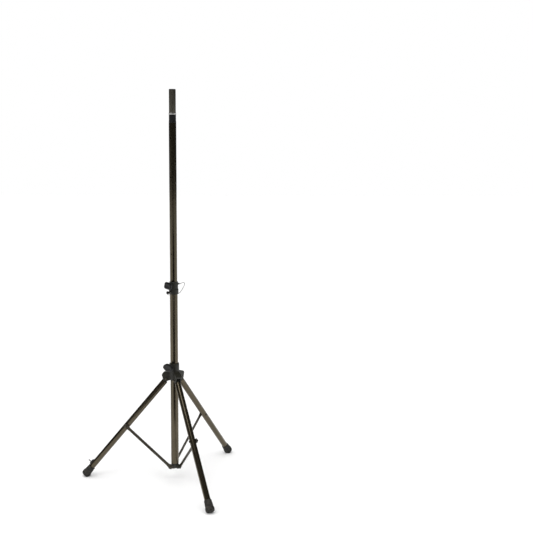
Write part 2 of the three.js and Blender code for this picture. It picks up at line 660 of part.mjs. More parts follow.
// ---------------------------------------------------------------- assembly

addMast();
addOuterTube();
addCollar();
addClamp('mast', MAST_CLAMP_Z, MAST_RADIUS + 0.4, 24, 32,
  { length: 46, height: 38, bluntness: [0.5, 0.5], taper: 0.08, thickness: 14, tilt: -8 });
addLockPin();
addLanyard();
addHub();
addClamp('hub', HUB_CLAMP_Z, TUBE_RADIUS + 1.3, 26.5, 36,
  { length: 68, height: 44, bluntness: [1, 1.4], taper: 0, thickness: 15, tilt: 0 });
LEGS.forEach(addLeg);
LEGS.forEach(addStrut);
addBracket();

export default stand;
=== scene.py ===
# The looks of the speaker tripod stand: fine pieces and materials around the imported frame.
# Shapes are drawn in millimetres and turned to metres when a mesh is made. Frame: +Z up, mast on the Z axis.
import math

import bmesh
import bpy
from mathutils import Matrix, Vector


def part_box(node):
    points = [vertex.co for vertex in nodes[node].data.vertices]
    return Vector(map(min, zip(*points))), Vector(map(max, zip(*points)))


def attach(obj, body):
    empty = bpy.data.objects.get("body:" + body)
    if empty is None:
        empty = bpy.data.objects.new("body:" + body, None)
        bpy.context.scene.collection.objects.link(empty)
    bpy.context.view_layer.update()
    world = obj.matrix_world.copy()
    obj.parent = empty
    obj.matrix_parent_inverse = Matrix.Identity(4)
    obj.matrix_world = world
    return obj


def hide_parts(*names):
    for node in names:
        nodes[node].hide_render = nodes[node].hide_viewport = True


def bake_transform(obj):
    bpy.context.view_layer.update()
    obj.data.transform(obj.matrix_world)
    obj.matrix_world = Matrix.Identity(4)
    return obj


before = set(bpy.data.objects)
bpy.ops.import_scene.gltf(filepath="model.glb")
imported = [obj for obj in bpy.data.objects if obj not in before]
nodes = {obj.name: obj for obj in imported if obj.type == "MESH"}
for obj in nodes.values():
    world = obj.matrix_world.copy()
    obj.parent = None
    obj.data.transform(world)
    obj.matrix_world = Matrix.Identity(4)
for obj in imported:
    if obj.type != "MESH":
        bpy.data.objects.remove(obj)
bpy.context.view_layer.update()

MM = 0.001
SIDES = 96                      # round a tube
SMALL_SIDES = 40                # round a bolt

# ---------------------------------------------------------------- sizes shared with the CAD, in millimetres
GAP = 0.3                       # between pieces that meet
MAST_RADIUS = 19.05
SPIGOT_RADIUS = 17.45
TUBE_RADIUS = 20.65
LEG_RADIUS = 15.875
INNER_LEG_RADIUS = 14.2
LEG_WALL = 1.3                  # of both leg tubes
MAST_WALL = 1.5
TUBE_WALL = 1.25
MAST_TOP = 1912
RING_BOTTOM = 1953
RING_TOP = 1962
TUBE_TOP = 1052
COLLAR_BOTTOM = 1021
COLLAR_TOP = 1084
MAST_CLAMP_Z = 1070
LOCK_PIN_Z = 1034
HUB_CLAMP_Z = 631
HUB_TOP = 648
HUB_BOTTOM = 556
HUB_BORE = TUBE_RADIUS + 2.4
HUB_RADIUS = 26.4
EAR_HALF = 16                   # half the width of a pair of ears
EAR_REACH = 65                  # from the mast's axis to the ears' outer end
EAR_LOBE = 14                   # radius of the ears' rounded ends
EAR_TOP = 43                    # above the leg pivot, where the ears' back meets the sleeve
EAR_HIGH = 21                   # the upper rounded end's middle, above the leg pivot
CLAMP_AZIMUTH = 210
LANYARD_AZIMUTH = 330
LANYARD_Z = 1076
LEG_AZIMUTHS = {"front": 270, "right": 30, "left": 150}
LEG_ANGLE = 39.5
LEG_PIVOT_R = 40
LEG_PIVOT_Z = 561
STRUT_BOLT_AT = 345
LEVELLING_PIN_AT = 638
STRUT_PIVOT_R = 21
STRUT_PIVOT_Z = 73
STRUT_INNER = 18.5              # the strut's faces, sideways from the leg's middle
STRUT_OUTER = 23.5
BOLT_HOLE = 4.3                 # radius round an 8 mm bolt
LOOSE_HOLE = 7.6                # the side legs' lugs, which play a little as the legs fold
LEG_TUBE_START = 18             # from here on, distances down the leg from its pivot
LEG_TUBE_END = 690              # of a plain leg's tube, and of the levelling leg's inner tube
LEVELLING_TUBE_END = 648
FOOT_START = 656
FOOT_END = 718

# ---------------------------------------------------------------- camera, as the photograph's
CAMERA_AZIMUTH = -110.44        # where the camera stands, round the mast
CAMERA_DISTANCE = 4.544
CAMERA_HEIGHT = 1.831
CAMERA_YAW = -6.17              # turned away from the mast, which stands left of the middle
CAMERA_PITCH = -8.31
CAMERA_ROLL = 0.47
CAMERA_LENS = 58.7


def add_camera():
    out = Vector((math.cos(math.radians(CAMERA_AZIMUTH)), math.sin(math.radians(CAMERA_AZIMUTH)), 0))
    ahead = Matrix.Rotation(math.radians(CAMERA_YAW), 3, "Z") @ -out
    right = ahead.cross(Vector((0, 0, 1)))
    pitch = Matrix.Rotation(math.radians(CAMERA_PITCH), 3, right)
    ahead = pitch @ ahead
    roll = Matrix.Rotation(math.radians(-CAMERA_ROLL), 3, ahead)
    right = roll @ right
    up = right.cross(ahead)
    camera = bpy.data.objects.new("camera", bpy.data.cameras.new("camera"))
    camera.data.lens = CAMERA_LENS
    turn = Matrix((right, up, -ahead)).transposed().to_4x4()
    camera.matrix_world = Matrix.Translation(out * CAMERA_DISTANCE + Vector((0, 0, CAMERA_HEIGHT))) @ turn
    bpy.context.scene.collection.objects.link(camera)
    bpy.context.scene.camera = camera


# ---------------------------------------------------------------- meshes
def make(name, vertices, faces, place=None, sharp=35):
    """An object from points in millimetres. place is its matrix in metres, and sharp a hard edge's angle."""
    mesh = bpy.data.meshes.new(name)
    mesh.from_pydata([Vector(v) * MM for v in vertices], [], faces)
    clean = bmesh.new()
    clean.from_mesh(mesh)
    bmesh.ops.recalc_face_normals(clean, faces=clean.faces)
    clean.to_mesh(mesh)
    clean.free()
    mesh.shade_smooth()
    mesh.set_sharp_from_angle(angle=math.radians(sharp))
    obj = bpy.data.objects.new(name, mesh)
    bpy.context.scene.collection.objects.link(obj)
    if place is not None:
        obj.matrix_world = place
    return obj


def rounded(profile, radius, steps=4):
    """A closed profile of (radius, height) points with its corners rounded, except those on the axis."""
    out = []
    for i, here in enumerate(profile):
        before, after = profile[i - 1], profile[(i + 1) % len(profile)]
        here, a, b = Vector(here), Vector(before) - Vector(here), Vector(after) - Vector(here)
        reach = min(radius, 0.45 * a.length, 0.45 * b.length)
        straight = abs(a.angle(b) - math.pi) < 0.02 if a.length and b.length else True
        if here.x < 1e-6 or straight or radius == 0:
            out.append(tuple(here))
            continue
        start, end = here + a.normalized() * reach, here + b.normalized() * reach
        for step in range(steps + 1):
            t = step / steps
            out.append(tuple((1 - t) ** 2 * start + 2 * t * (1 - t) * here + t * t * end))
    return out


def spin(profile, sides, shape=None):
    """Vertices and faces of a closed profile turned about Z. shape may change each ring's radius by angle."""
    vertices, rings, faces = [], [], []
    for radius, height in profile:
        if radius < 1e-6:
            vertices.append((0, 0, height))
            rings.append([len(vertices) - 1] * sides)
            continue
        start = len(vertices)
        for i in range(sides):
            angle = 2 * math.pi * i / sides
            r = shape(radius, height, angle) if shape else radius
            vertices.append((r * math.cos(angle), r * math.sin(angle), height))
        rings.append(list(range(start, start + sides)))
    for ring, nxt in zip(rings, rings[1:] + rings[:1]):
        for i in range(sides):
            j = (i + 1) % sides
            face = list(dict.fromkeys((ring[i], ring[j], nxt[j], nxt[i])))
            if len(face) > 2:
                faces.append(face)
    return vertices, faces


def lathe(name, profile, place=None, fillet=0.4, sides=SIDES, shape=None, sharp=35):
    return make(name, *spin(rounded(profile, fillet), sides, shape), place, sharp)


def hexed(across):
    """Cuts a turned body to a hexagon of that size across its flats."""
    def shape(radius, _height, angle):
        return min(radius, across / 2 / math.cos((angle % (math.pi / 3)) - math.pi / 6))
    return shape


def block(low, high):
    x0, y0, z0 = low
    x1, y1, z1 = high
    vertices = [(x, y, z) for z in (z0, z1) for y in (y0, y1) for x in (x0, x1)]
    faces = [(0, 2, 3, 1), (4, 5, 7, 6), (0, 1, 5, 4), (2, 6, 7, 3), (0, 4, 6, 2), (1, 3, 7, 5)]
    return vertices, faces


def rod(radius, low, high, sides=SMALL_SIDES):
    return spin([(0, low), (radius, low), (radius, high), (0, high)], sides)


def arc(x, z, radius, start, end, steps=24):
    """Points on an arc in X and Z, its angles in degrees."""
    angles = [math.radians(start + (end - start) * i / steps) for i in range(steps + 1)]
    return [(x + radius * math.cos(a), z + radius * math.sin(a)) for a in angles]


def plate(outline, low, high):
    """A flat outline in X and Z, given thickness along Y."""
    count = len(outline)
    vertices = [(x, y, z) for y in (low, high) for x, z in outline]
    faces = [tuple(range(count)), tuple(range(2 * count - 1, count - 1, -1))]
    faces += [(i, (i + 1) % count, count + (i + 1) % count, count + i) for i in range(count)]
    return vertices, faces


def moved(shape, matrix):
    """The same vertices and faces, moved by a matrix in millimetres."""
    vertices, faces = shape
    return [tuple(matrix @ Vector(v)) for v in vertices], faces


def about(azimuth, z=0.0):
    """A matrix whose X points out at an azimuth, at a height, in millimetres."""
    return Matrix.Translation((0, 0, z)) @ Matrix.Rotation(math.radians(azimuth), 4, "Z")


ALONG_X = Matrix.Rotation(math.pi / 2, 4, "Y")
ALONG_Y = Matrix.Rotation(-math.pi / 2, 4, "X")


def metres(matrix):
    """The same placement, from millimetres to metres."""
    out = matrix.copy()
    out.translation = matrix.translation * MM
    return out


def joined(shapes):
    vertices, faces = [], []
    for some, their in shapes:
        faces += [[i + len(vertices) for i in face] for face in their]
        vertices += some
    return vertices, faces


def bake(obj):
    """Turns an object's modifiers into its mesh."""
    graph = bpy.context.evaluated_depsgraph_get()
    mesh = bpy.data.meshes.new_from_object(obj.evaluated_get(graph))
    obj.modifiers.clear()
    obj.data = mesh
    return obj


def remeshed(obj, voxel):
    step = obj.modifiers.new("voxels", "REMESH")
    step.mode = "VOXEL"
    step.voxel_size = voxel * MM
    return bake(obj)


def cast(name, solids, hollows, place=None, voxel=0.8, soften=6, keep=0.3):
    """A casting: solids melted together, hollows cut out of them, and every edge softened."""
    body = remeshed(make(name, *joined(solids)), voxel)
    if hollows:
        tool = remeshed(make(name + "_tool", *joined(hollows)), voxel)
        step = body.modifiers.new("hollow", "BOOLEAN")
        step.operation = "DIFFERENCE"
        step.solver = "EXACT"
        step.object = tool
        bake(body)
        bpy.data.objects.remove(tool)
        remeshed(body, voxel)
    soft = body.modifiers.new("soften", "SMOOTH")
    soft.factor = 0.5
    soft.iterations = soften
    thin = body.modifiers.new("thin", "DECIMATE")
    thin.ratio = keep
    bake(body)
    body.data.shade_smooth()
    if place is not None:
        body.matrix_world = place
    return body


def finish(obj, body, node, material):
    """Puts a fine piece in the place of its CAD node, on its body and in its material."""
    obj.data.materials.clear()
    obj.data.materials.append(materials[material])
    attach(obj, body)
    for name in [node] if isinstance(node, str) else node:
        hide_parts(name)
    return obj


# ---------------------------------------------------------------- materials
class Nodes:
    """A material's node tree, with short calls for the nodes that the finishes share."""

    def __init__(self, name, colour, roughness, metallic=0.0, coat=0.0, specular=0.5):
        self.material = bpy.data.materials.new(name)
        self.material.use_nodes = True
        self.tree = self.material.node_tree
        self.shader = self.tree.nodes["Principled BSDF"]
        self.shader.inputs["Base Color"].default_value = (*colour, 1)
        self.shader.inputs["Roughness"].default_value = roughness
        self.shader.inputs["Metallic"].default_value = metallic
        self.shader.inputs["Coat Weight"].default_value = coat
        self.shader.inputs["Coat Roughness"].default_value = 0.15
        self.shader.inputs["Specular IOR Level"].default_value = specular
        self.place = self.tree.nodes.new("ShaderNodeTexCoord").outputs["Object"]

    def link(self, out, into):
        self.tree.links.new(out, into)

    def noise(self, scale, stretch=(1, 1, 1), detail=4.0):
        mapping = self.tree.nodes.new("ShaderNodeMapping")
        mapping.inputs["Scale"].default_value = stretch
        self.link(self.place, mapping.inputs["Vector"])
        noise = self.tree.nodes.new("ShaderNodeTexNoise")
        noise.inputs["Scale"].default_value = scale
        noise.inputs["Detail"].default_value = detail
        self.link(mapping.outputs["Vector"], noise.inputs["Vector"])
        return noise.outputs["Fac"]

    def ramp(self, value, low, high, dark, light):
        """A number or colour that goes from dark to light as value goes from low to high."""
        ramp = self.tree.nodes.new("ShaderNodeValToRGB")
        first, last = ramp.color_ramp.elements
        first.position, last.position = low, high
        first.color = (*dark, 1) if isinstance(dark, tuple) else (dark, dark, dark, 1)
        last.color = (*light, 1) if isinstance(light, tuple) else (light, light, light, 1)
        self.link(value, ramp.inputs["Fac"])
        return ramp.outputs["Color"]

    def worn_edges(self, base, worn, amount):
        """Mixes a worn colour into the base where the surface bends outward."""
        shape = self.tree.nodes.new("ShaderNodeNewGeometry")
        edge = self.ramp(shape.outputs["Pointiness"], 0.53, 0.62, 0.0, amount)
        mix = self.tree.nodes.new("ShaderNodeMix")
        mix.data_type = "RGBA"
        self.link(edge, mix.inputs["Factor"])
        self.link(base, mix.inputs["A"])
        mix.inputs["B"].default_value = (*worn, 1)
        return mix.outputs["Result"]

    def bump(self, *heights):
        """Each height is (value, strength, depth in metres)."""
        normal = None
        for value, strength, depth in heights:
            bump = self.tree.nodes.new("ShaderNodeBump")
            bump.inputs["Strength"].default_value = strength
            bump.inputs["Distance"].default_value = depth
            self.link(value, bump.inputs["Height"])
            if normal:
                self.link(normal, bump.inputs["Normal"])
            normal = bump.outputs["Normal"]
        self.link(normal, self.shader.inputs["Normal"])


def tube_finish(name, dark, light, low, high, metallic):
    """Drawn tube under satin black: faint lines along its length, soft blotches, and a few rubbed marks."""
    n = Nodes(name, dark, low, metallic, coat=0.12)
    lines = n.noise(180, (1, 1, 0.02), 2)
    cloud = n.noise(9, (1, 1, 0.35), 3)
    marks = n.noise(60, (1, 1, 0.15), 6)
    n.link(n.ramp(cloud, 0.35, 0.7, dark, light), n.shader.inputs["Base Color"])
    n.link(n.ramp(marks, 0.35, 0.75, low, high), n.shader.inputs["Roughness"])
    n.bump((lines, 0.05, 0.00002))
    return n.material


def cast_finish(name, dark, light):
    """Powder-coated casting: a fine orange peel with rubbed edges."""
    n = Nodes(name, dark, 0.42, 0.0, specular=0.4)
    peel = n.noise(900, detail=2)
    swell = n.noise(140, detail=3)
    colour = n.ramp(n.noise(45), 0.3, 0.75, dark, light)
    n.link(n.worn_edges(colour, (0.2, 0.19, 0.17), 0.45), n.shader.inputs["Base Color"])
    n.link(n.ramp(swell, 0.3, 0.7, 0.34, 0.5), n.shader.inputs["Roughness"])
    n.bump((peel, 0.25, 0.00006), (swell, 0.15, 0.0002))
    return n.material


def plastic_finish(name, dark, light):
    """Moulded plastic with a spark-eroded grain."""
    n = Nodes(name, dark, 0.4, 0.0, specular=0.35)
    grain = n.noise(2600, detail=2)
    n.link(n.ramp(n.noise(70), 0.3, 0.7, dark, light), n.shader.inputs["Base Color"])
    n.link(n.ramp(n.noise(120, detail=5), 0.3, 0.75, 0.3, 0.42), n.shader.inputs["Roughness"])
    n.bump((grain, 0.3, 0.00005))
    return n.material


def rubber_finish():
    """Matt rubber with a dusty, scuffed bloom in random blotches."""
    n = Nodes("rubber", (0.018, 0.017, 0.015), 0.75, 0.0, specular=0.35)
    scuff = n.noise(90, detail=8)
    colour = n.ramp(scuff, 0.42, 0.8, (0.014, 0.0135, 0.012), (0.06, 0.055, 0.046))
    n.link(colour, n.shader.inputs["Base Color"])
    n.link(n.ramp(scuff, 0.3, 0.7, 0.62, 0.88), n.shader.inputs["Roughness"])
    n.bump((n.noise(1500, detail=3), 0.25, 0.00008), (n.noise(200), 0.12, 0.0002))
    return n.material


def steel_finish(name, colour, low, high):
    """Plated steel with fine polishing marks."""
    n = Nodes(name, colour, low, 1.0)
    shade = tuple(0.72 * c for c in colour)
    n.link(n.ramp(n.noise(160, detail=5), 0.3, 0.75, shade, colour), n.shader.inputs["Base Color"])
    n.link(n.ramp(n.noise(700, (1, 1, 0.1)), 0.3, 0.7, low, high), n.shader.inputs["Roughness"])
    n.bump((n.noise(1400, (1, 1, 0.15), 3), 0.12, 0.00003))
    return n.material


def black_steel_finish():
    """Black plated steel with small rubbed spots."""
    n = Nodes("black_steel", (0.028, 0.026, 0.022), 0.36, 0.55, coat=0.1)
    spots = n.noise(240, detail=7)
    colour = n.ramp(spots, 0.5, 0.82, (0.045, 0.038, 0.026), (0.085, 0.074, 0.054))
    n.link(n.worn_edges(colour, (0.25, 0.23, 0.2), 0.5), n.shader.inputs["Base Color"])
    n.link(n.ramp(n.noise(90, detail=6), 0.3, 0.75, 0.28, 0.48), n.shader.inputs["Roughness"])
    n.bump((n.noise(1100, detail=3), 0.15, 0.00005))
    return n.material


def make_materials():
    return {
        "mast": tube_finish("mast_tube", (0.066, 0.056, 0.036), (0.088, 0.074, 0.048), 0.17, 0.24, 0.95),
        "tube": tube_finish("outer_tube", (0.085, 0.071, 0.047), (0.115, 0.096, 0.064), 0.2, 0.29, 0.92),
        "spigot": tube_finish("spigot_tube", (0.09, 0.084, 0.066), (0.12, 0.112, 0.088), 0.3, 0.42, 0.8),
        "casting": cast_finish("casting", (0.012, 0.0118, 0.009), (0.022, 0.021, 0.015)),
        "plastic": plastic_finish("black_plastic", (0.005, 0.005, 0.005), (0.009, 0.009, 0.009)),
        "nylon": plastic_finish("nylon_guide", (0.03, 0.03, 0.028), (0.045, 0.045, 0.042)),
        "rubber": rubber_finish(),
        "steel": steel_finish("bright_steel", (0.62, 0.61, 0.58), 0.14, 0.28),
        "trim": steel_finish("bright_trim", (0.85, 0.84, 0.81), 0.34, 0.46),
        "black_steel": black_steel_finish(),
        "wire": steel_finish("wire", (0.03, 0.03, 0.029), 0.3, 0.45),
    }


# ---------------------------------------------------------------- mast and spigot
def punched(obj, radius, places):
    """Drills holes through one wall of a tube, at matrices in millimetres whose Z is the hole's axis."""
    tool = make("punch", *joined([moved(rod(radius, -12, 12, 48), place) for place in places]))
    tool.matrix_world = obj.matrix_world
    step = obj.modifiers.new("holes", "BOOLEAN")
    step.operation = "DIFFERENCE"
    step.solver = "EXACT"
    step.object = tool
    bpy.context.view_layer.update()
    bake(obj)
    bpy.data.objects.remove(tool)
    obj.data.shade_smooth()
    obj.data.set_sharp_from_angle(angle=math.radians(35))
    return obj


def add_mast():
    low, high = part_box("inner_mast")
    bottom, top = low.z / MM, high.z / MM
    inner = MAST_RADIUS - MAST_WALL
    wall = [(inner, bottom), (MAST_RADIUS, bottom), (MAST_RADIUS, top), (inner, top)]
    mast = lathe("mast_tube_fine", wall, fillet=0.4)
    holes = [about(CLAMP_AZIMUTH, LOCK_PIN_Z + 200 * i) @ Matrix.Translation((MAST_RADIUS, 0, 0)) @ ALONG_X
             for i in range(5)]
    finish(punched(mast, 3.4, holes), "mast", "inner_mast", "mast")

    inside = SPIGOT_RADIUS - 2.2
    bore = inner - GAP
    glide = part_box("mast_glide")[0].z / MM
    finish(lathe("mast_glide_fine", [
        (8, glide), (MAST_RADIUS, glide), (MAST_RADIUS, bottom - GAP), (bore, bottom - GAP),
        (bore, bottom + 28), (8, bottom + 28),
    ], fillet=1), "mast_glide", "mast_glide", "nylon")
    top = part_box("speaker_spigot")[1].z / MM
    finish(lathe("spigot_fine", [
        (inside, MAST_TOP - 45), (bore, MAST_TOP - 45), (bore, RING_TOP + GAP),
        (SPIGOT_RADIUS, RING_TOP + GAP), (SPIGOT_RADIUS, top), (inside, top),
    ]), "mast", "speaker_spigot", "spigot")
    finish(lathe("trim_ring_fine", [
        (bore + GAP, RING_BOTTOM), (19, RING_BOTTOM), (19, RING_BOTTOM + 3.2), (18.7, RING_BOTTOM + 3.6),
        (18.7, RING_BOTTOM + 4.4), (19, RING_BOTTOM + 4.8), (19, RING_TOP), (bore + GAP, RING_TOP),
    ], fillet=0.7), "mast", "trim_ring", "trim")
    finish(lathe("spigot_shoulder_fine", [
        (bore + GAP, MAST_TOP + GAP), (MAST_RADIUS, MAST_TOP + GAP), (MAST_RADIUS, MAST_TOP + 4),
        (18.2, MAST_TOP + 13), (18.2, RING_BOTTOM - GAP), (bore + GAP, RING_BOTTOM - GAP),
    ], fillet=0.6), "mast", "spigot_shoulder", "plastic")
    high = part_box("spigot_cap")[1].z / MM
    finish(lathe("spigot_cap_fine", [
        (0, top - 18), (inside - GAP, top - 18), (inside - GAP, top + GAP), (SPIGOT_RADIUS, top + GAP),
        (SPIGOT_RADIUS, high - 1.6), (SPIGOT_RADIUS - 1.6, high), (10.4, high), (9.8, high - 0.7),
        (0, high - 0.7),
    ], fillet=0.5), "mast", "spigot_cap", "plastic")


# ---------------------------------------------------------------- outer tube and its collar
def add_outer_tube():
    low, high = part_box("main_tube")
    inner = TUBE_RADIUS - TUBE_WALL
    tube = lathe("main_tube_fine", [
        (inner, low.z / MM), (TUBE_RADIUS, low.z / MM), (TUBE_RADIUS, high.z / MM), (inner, high.z / MM),
    ], fillet=0.35)
    hole = about(CLAMP_AZIMUTH, LOCK_PIN_Z) @ Matrix.Translation((TUBE_RADIUS, 0, 0)) @ ALONG_X
    finish(punched(tube, 3.4, [hole]), "stand", "main_tube", "tube")


def add_collar():
    bush_bore = 20.9
    sleeve = TUBE_RADIUS + GAP
    shell = spin(rounded([
        (sleeve, COLLAR_BOTTOM), (25.2, COLLAR_BOTTOM), (25.2, TUBE_TOP - 5), (23.2, TUBE_TOP - 2),
        (23.2, COLLAR_TOP), (bush_bore, COLLAR_TOP), (bush_bore, TUBE_TOP + 1), (sleeve, TUBE_TOP + 1),
    ], 1.2), SIDES)
    clamp = about(CLAMP_AZIMUTH, MAST_CLAMP_Z) @ ALONG_X
    pin = about(CLAMP_AZIMUTH, LOCK_PIN_Z) @ ALONG_X
    screw = about(LANYARD_AZIMUTH, LANYARD_Z) @ ALONG_X
    solids = [
        shell,
        moved(rod(10, 21.5, 31), clamp),
        moved(rod(7, 22, 29), pin),
        moved(rod(5.5, 21.5, 27), screw),
    ]
    hollows = [
        moved(rod(4.4, 15, 36), clamp),
        moved(rod(3.5, 15, 36), pin),
        moved(rod(2.3, 22.2, 30), screw),
    ]
    finish(cast("mast_collar_fine", solids, hollows, voxel=0.55, soften=5, keep=0.25),
           "stand", "mast_collar", "casting")
    finish(lathe("collar_bush_fine", [
        (MAST_RADIUS + GAP, TUBE_TOP + 1.5), (bush_bore - GAP, TUBE_TOP + 1.5),
        (bush_bore - GAP, COLLAR_TOP + GAP), (22.2, COLLAR_TOP + GAP), (22.2, COLLAR_TOP + 3),
        (MAST_RADIUS + GAP, COLLAR_TOP + 3),
    ], fillet=0.6), "stand", "collar_bush", "nylon")


# ---------------------------------------------------------------- clamp knobs
def wing(length, height, thickness, square, taper=0.0, sides=72, rings=28):
    """A pillow-shaped wing, lying in X and Y and centred on Z = 0.

    square is an exponent for X and one for Y: under 1 they square the outline's corners, and over 1 they draw
    it to points. taper narrows its top."""
    def power(value, exponent):
        return math.copysign(abs(value) ** exponent, value)

    profile = []
    for ring in range(rings + 1):
        angle = -math.pi / 2 + math.pi * ring / rings
        profile.append((abs(power(math.cos(angle), 0.45)), power(math.sin(angle), 0.75) * thickness / 2))
    profile[0] = (0, profile[0][1])
    profile[-1] = (0, profile[-1][1])
    vertices, faces = spin(profile, sides)
    out = []
    for x, y, z in vertices:
        r, angle = math.hypot(x, y), math.atan2(y, x)
        up = r * power(math.sin(angle), square[1])
        across = r * power(math.cos(angle), square[0]) * (1 - taper * up)
        out.append((across * length / 2, up * height / 2, z))
    return out, faces


CLAMP_PADS = {"mast": (MAST_RADIUS + 0.4, 24), "hub": (TUBE_RADIUS + 1.3, 26.5)}     # inner and outer ends


def add_clamp(prefix, z, screw_from, knob_from, length, height, thickness, square, taper, tilt):
    """The knob's wing faces out; its X runs sideways and its Y up."""
    body = prefix + "_clamp"
    axis = about(CLAMP_AZIMUTH, z)
    face = axis @ Matrix(((0, 0, 1, 0), (1, 0, 0, 0), (0, 1, 0, 0), (0, 0, 0, 1)))
    face = face @ Matrix.Rotation(math.radians(tilt), 4, "Z")
    outer = knob_from + 8 + thickness
    solids = [
        moved(wing(length, height, thickness, square, taper),
              face @ Matrix.Translation((0, 0, outer - thickness / 2))),
        moved(rod(10, knob_from, knob_from + 12), axis @ ALONG_X),
    ]
    dish = moved(wing(length * 0.62, height * 0.5, 3.2, (0.8, 0.8)), face @ Matrix.Translation((0, 0, outer)))
    bore = moved(rod(4.3, knob_from - 3, knob_from + 13.8), axis @ ALONG_X)
    knob = cast(prefix + "_knob_fine", solids, [dish, bore], voxel=0.6, soften=4, keep=0.3)
    finish(knob, body, prefix + "_clamp_knob", "plastic")

    pitch, crest, root = 1.25, 3.85, 3.25
    threads = int((knob_from - 0.5 - screw_from) / pitch)
    outline = [(0, screw_from)]
    for turn in range(threads):
        at = screw_from + turn * pitch
        outline += [(root, at + 0.1 * pitch), (crest, at + 0.5 * pitch), (root, at + 0.9 * pitch)]
    outline += [(crest, knob_from - GAP), (crest, knob_from + 13.4), (0, knob_from + 13.4)]
    screw = lathe(prefix + "_screw_fine", outline, metres(axis @ ALONG_X), fillet=0, sides=32)
    finish(screw, body, prefix + "_clamp_screw", "black_steel")
    start, end = CLAMP_PADS[prefix]
    pad = lathe(prefix + "_pad_fine", [(0, start), (4.1, start), (4.1, end), (0, end)],
                metres(axis @ ALONG_X), fillet=0.5, sides=32)
    finish(pad, prefix + "_clamp_pad", prefix + "_clamp_pad", "nylon")


# ---------------------------------------------------------------- locking pin and lanyard
def add_lock_pin():
    place = metres(about(CLAMP_AZIMUTH, LOCK_PIN_Z) @ ALONG_X)
    tip, end, ball, middle = MAST_RADIUS + 0.5, 48, 8, 49
    finish(lathe("lock_pin_fine", [(0, tip), (1.6, tip), (3, tip + 1.6), (3, end), (0, end)], place, 0.3, 40),
           "lock_pin", "lock_pin", "steel")
    profile = [(3.3, 37), (4.6, 37), (4.6, 39.6)]
    profile += [(r, h) for r, h in arc(0, middle, ball, -90, 90) if h > middle - 6.5]
    profile += [(0, end + 0.4), (3.3, end + 0.4)]
    finish(lathe("lock_pin_knob_fine", profile, place, 0.3, 64), "lock_pin", "lock_pin_knob", "plastic")
    finish(lathe("lanyard_ring_fine", [(3.4, 32), (5.2, 32), (5.2, 35.5), (3.4, 35.5)], place, 1.2, 48),
           "lock_pin", "lanyard_ring", "steel")


# The lanyard's route, in millimetres: out of its screw, a bow to the side, then down and behind the tube to
# the pin.
LANYARD_RADIUS = 1.2
LANYARD_ROUTE = [
    (30.6, -17.7, 1076.5), (37, -20, 1079.6), (44, -20.6, 1081.8), (50.5, -18.8, 1081.4),
    (55.2, -15.2, 1076), (56, -11, 1067), (53.6, -5.5, 1056.5), (50.2, 0.5, 1046), (46.5, 7, 1035.5),
    (42, 14, 1025.5), (35.5, 21.5, 1017), (26, 28.8, 1011), (14, 33.8, 1007.8), (1, 35.3, 1007.5),
    (-11.5, 33.2, 1009.8), (-22, 27.5, 1014), (-29.8, 18.8, 1019.8), (-34.3, 8.5, 1026),
    (-35.6, -1.5, 1031.2), (-33.8, -9.8, 1034),
]


def smooth_route(points, per_span=10):
    """A centripetal Catmull-Rom curve through the points, with its ends drawn out straight."""
    ends = [2 * points[0] - points[1]] + points + [2 * points[-1] - points[-2]]
    out = []
    for a, b, c, d in zip(ends, ends[1:], ends[2:], ends[3:]):
        k1, k2, k3 = ((b - a).length ** 0.5, (c - b).length ** 0.5, (d - c).length ** 0.5)
        m1 = (k1 * k1 * (c - b) + k2 * k2 * (b - a)) / (k1 * (k1 + k2))
        m2 = (k3 * k3 * (c - b) + k2 * k2 * (d - c)) / (k3 * (k3 + k2))
        for step in range(per_span):
            t = step / per_span
            out.append((2 * t ** 3 - 3 * t ** 2 + 1) * b + (t ** 3 - 2 * t ** 2 + t) * m1
                       + (3 * t ** 2 - 2 * t ** 3) * c + (t ** 3 - t ** 2) * m2)
    return out + [points[-1]]


def add_lanyard():
    """Six strands laid round the wire's line, as one lobed skin that turns along it."""
    path = smooth_route([Vector(p) for p in LANYARD_ROUTE])
    strands, sides, lay = 6, 30, 9.0
    vertices, faces = [], []
    side = Vector((0, 0, 1))
    run = 0.0
    for i, point in enumerate(path):
        ahead = (path[min(i + 1, len(path) - 1)] - path[max(i - 1, 0)]).normalized()
        side = (side - side.dot(ahead) * ahead).normalized()
        other = ahead.cross(side)
        if i:
            run += (point - path[i - 1]).length
        for k in range(sides):
            angle = 2 * math.pi * k / sides
            lobe = abs(math.cos(strands / 2 * (angle + 2 * math.pi * run / lay / strands)))
            r = LANYARD_RADIUS * (0.8 + 0.2 * lobe ** 0.5)
            vertices.append(point + r * (math.cos(angle) * side + math.sin(angle) * other))
    for i in range(len(path) - 1):
        for k in range(sides):
            n = (k + 1) % sides
            faces.append((i * sides + k, i * sides + n, (i + 1) * sides + n, (i + 1) * sides + k))
    last = (len(path) - 1) * sides
    faces += [tuple(range(sides))[::-1], tuple(range(last, last + sides))]
    wire = make("lanyard_wire_fine", vertices, faces, sharp=80)
    wire.data.materials.append(materials["wire"])
    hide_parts("lanyard_wire")
    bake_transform(wire)

    place = metres(about(LANYARD_AZIMUTH, LANYARD_Z) @ ALONG_X)
    finish(lathe("lanyard_screw_fine", [
        (0, 23), (2, 23), (2, 31.5), (4.6, 31.5), (4.6, 33), (3.6, 34.3), (1.5, 34.8), (1.5, 33.6), (0, 33.6),
    ], place, 0.3, 40), "stand", "lanyard_screw", "steel")


# ---------------------------------------------------------------- hub
def eye(radius, x, z, low, high):
    return moved(rod(radius, low, high, 64), Matrix.Translation((x, 0, z)) @ ALONG_Y)


